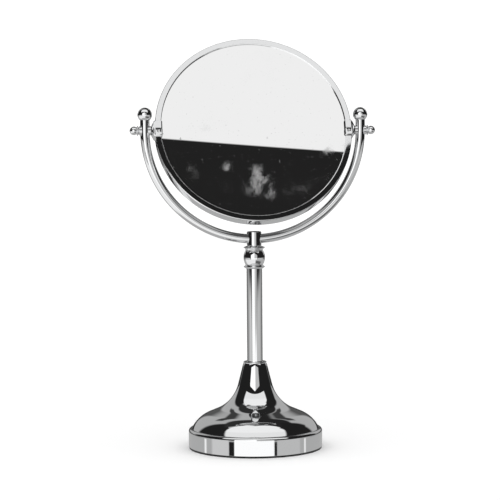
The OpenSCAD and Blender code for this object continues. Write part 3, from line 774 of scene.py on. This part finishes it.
class Studio:
    """The light round the object: panels and flags placed by bearing and height, in degrees."""

    def __init__(self, tree):
        self.tree = tree
        turn = tree.nodes.new("ShaderNodeVectorRotate")
        turn.rotation_type = "Z_AXIS"
        turn.inputs["Angle"].default_value = -CAMERA_BEARING
        split = tree.nodes.new("ShaderNodeSeparateXYZ")
        direction = tree.nodes.new("ShaderNodeTexCoord").outputs["Generated"]
        tree.links.new(direction, turn.inputs["Vector"])
        tree.links.new(turn.outputs[0], split.inputs[0])
        x, y, z = split.outputs
        front = math_node(tree, "MULTIPLY", y, -1.0)
        self.bearing = math_node(tree, "DEGREES", math_node(tree, "ARCTAN2", x, front))
        self.height = math_node(tree, "DEGREES", math_node(tree, "ARCSINE", z))
        self.arched = self.curved(0.002)
        self.dished = self.curved(-0.00017)
        self.light = None

    def curved(self, rate, middle=0.0):
        """Height plus a share of the bearing squared: panels laid along it have bowed edges."""
        away = math_node(self.tree, "SUBTRACT", self.bearing, middle)
        square = math_node(self.tree, "MULTIPLY", away, away)
        return math_node(self.tree, "MULTIPLY_ADD", square, rate, self.height)

    def within(self, value, low, high, soft):
        rise = smooth_step(self.tree, value, low - soft, low + soft)
        drop = smooth_step(self.tree, value, high + soft, high - soft)
        return math_node(self.tree, "MULTIPLY", rise, drop)

    def fill(self, value):
        self.light = math_node(self.tree, "ADD", value, 0.0)

    def panel(self, value, bearing, height, soft=(2.0, 1.0), along=None):
        """Lays a panel of a brightness over what is there already."""
        mask = math_node(
            self.tree, "MULTIPLY",
            self.within(self.bearing, *bearing, soft[0]),
            self.within(along or self.height, *height, soft[1]))
        self.light = self.mixed(mask, self.light, value)

    def awning(self, value, low, along, soft):
        """Lays the front ceiling above a height: it widens as it rises."""
        aside = math_node(self.tree, "ABSOLUTE", self.bearing)
        spread = math_node(self.tree, "SUBTRACT", aside, self.height)
        above = smooth_step(self.tree, along, low - soft, low + soft)
        mask = math_node(self.tree, "MULTIPLY", above, smooth_step(self.tree, spread, 31, 23))
        self.light = self.mixed(mask, self.light, value)

    def card(self, value, bearing, low, shoulder, top, reach=(-60, 60), below=90):
        """Lays a tall card with a pointed top, or the part of it in reach and below a height."""
        middle, half = sum(bearing) / 2, (bearing[1] - bearing[0]) / 2
        across = math_node(self.tree, "SUBTRACT", self.bearing, middle)
        across = math_node(self.tree, "ABSOLUTE", math_node(self.tree, "DIVIDE", across, half))
        rise = math_node(self.tree, "SUBTRACT", self.height, shoulder)
        rise = math_node(self.tree, "DIVIDE", rise, top - shoulder)
        rise = math_node(self.tree, "MAXIMUM", rise, 0.0)
        size = math_node(self.tree, "ADD", across, rise)
        mask = math_node(self.tree, "MULTIPLY", smooth_step(self.tree, size, 1.04, 0.96),
                         self.within(self.height, low, below, 0.8))
        mask = math_node(self.tree, "MULTIPLY", mask, self.within(self.bearing, *reach, 1.0))
        self.light = self.mixed(mask, self.light, value)

    def mixed(self, mask, below, value):
        mix = self.tree.nodes.new("ShaderNodeMix")
        mix.data_type = "FLOAT"
        self.tree.links.new(mask, mix.inputs[0])
        self.tree.links.new(below, mix.inputs[2])
        mix.inputs[3].default_value = value
        return mix.outputs[0]


def make_world():
    """White ceiling, grey table, dark walls, a tall pointed card in front and a grey back."""
    world = bpy.data.worlds.new("studio")
    world.use_nodes = True
    bpy.context.scene.world = world
    tree = world.node_tree
    studio = Studio(tree)
    black, white = 0.016, 1.35
    all_round = (-200, 200)

    def behind(start):
        return ((-200, -start), (start, 200))

    studio.fill(0.47)
    studio.panel(0.47, all_round, (-95, -5), along=studio.dished)
    studio.panel(1.0, (-110, 15), (-50, -13), soft=(8, 3))
    studio.panel(0.12, (18, 90), (-48, -27), soft=(6, 3))
    studio.panel(black, (-128, 128), (-4.9, 59), along=studio.dished, soft=(4, 0.8))
    for bearing in behind(164):
        studio.panel(0.1, bearing, (3, 49), soft=(3, 3))
    for bearing in behind(146):
        studio.panel(0.05, bearing, (40.5, 48.5), soft=(4, 1.5))
    for bearing in behind(108):
        studio.panel(0.2, bearing, (-8.2, -2.6), soft=(8, 0.5))
        studio.panel(0.03, bearing, (-2.6, 5), soft=(6, 0.8))
    studio.panel(0.03, (-200, -100), (57, 95), soft=(4, 2))
    studio.panel(0.02, (90, 200), (50, 95), soft=(4, 2))
    edge = studio.curved(0.0041, middle=-0.8)
    studio.awning(0.93, 45.82, edge, 0.03)
    studio.awning(1.02, 62, studio.arched, 3.0)
    studio.panel(black, (84, 132), (30, 62), soft=(4, 1.5))
    studio.panel(0.68, (-80, -46), (-16, -4.2), soft=(3, 0.8))
    studio.panel(0.58, (37, 82), (-16, -4.2), soft=(2, 0.8))
    studio.panel(black, (-46, 37), (-14, -8.3), soft=(0.8, 0.4))
    studio.panel(black, (-46, 37), (-5.2, 10), soft=(0.8, 0.6))
    studio.card(0.6, (-36, 32), -16, 19, 37)
    studio.card(white, (-36, 32), -16, 19, 37, reach=(-60, 2))
    studio.card(1.2, (-36, 32), -16, 19, 37, below=-6)
    studio.panel(1.0, (-98, -93), (-14, -8.3), soft=(1.5, 0.4))
    studio.panel(1.0, (92, 96), (-14, -8.3), soft=(1.5, 0.4))
    path = tree.nodes.new("ShaderNodeLightPath")
    pale = math_node(tree, "MAXIMUM", path.outputs["Is Camera Ray"], path.outputs["Is Diffuse Ray"])
    lit = studio.mixed(pale, studio.light, 1.12)
    tree.links.new(lit, tree.nodes["Background"].inputs["Color"])


def make_floor():
    """A pale floor that metal doesn't mirror, since the studio already holds a table."""
    bm = bmesh.new()
    bmesh.ops.create_circle(bm, cap_ends=True, radius=6, segments=96)
    pale, tree, shader = new_material("pale_floor", Roughness=0.9, Specular_IOR_Level=0.0)
    tone = noise(tree, object_place(tree), 3.0)
    colour = blend_colours(tree, tone, (0.96, 0.96, 0.96), (0.98, 0.98, 0.98))
    tree.links.new(colour, shader.inputs["Base Color"])
    floor = add_object("floor", bm, pale)
    floor.visible_glossy = False


make_base()
make_posts()
make_ferrule()
make_ball_collar()
make_socket()
make_yoke_tube()
make_finials()
make_knobs()
make_brackets()
make_rivets()
make_rim()
make_glasses()
finish_kept_nodes()
make_camera()
make_world()
make_floor()
bpy.context.scene.view_settings.view_transform = "Standard"
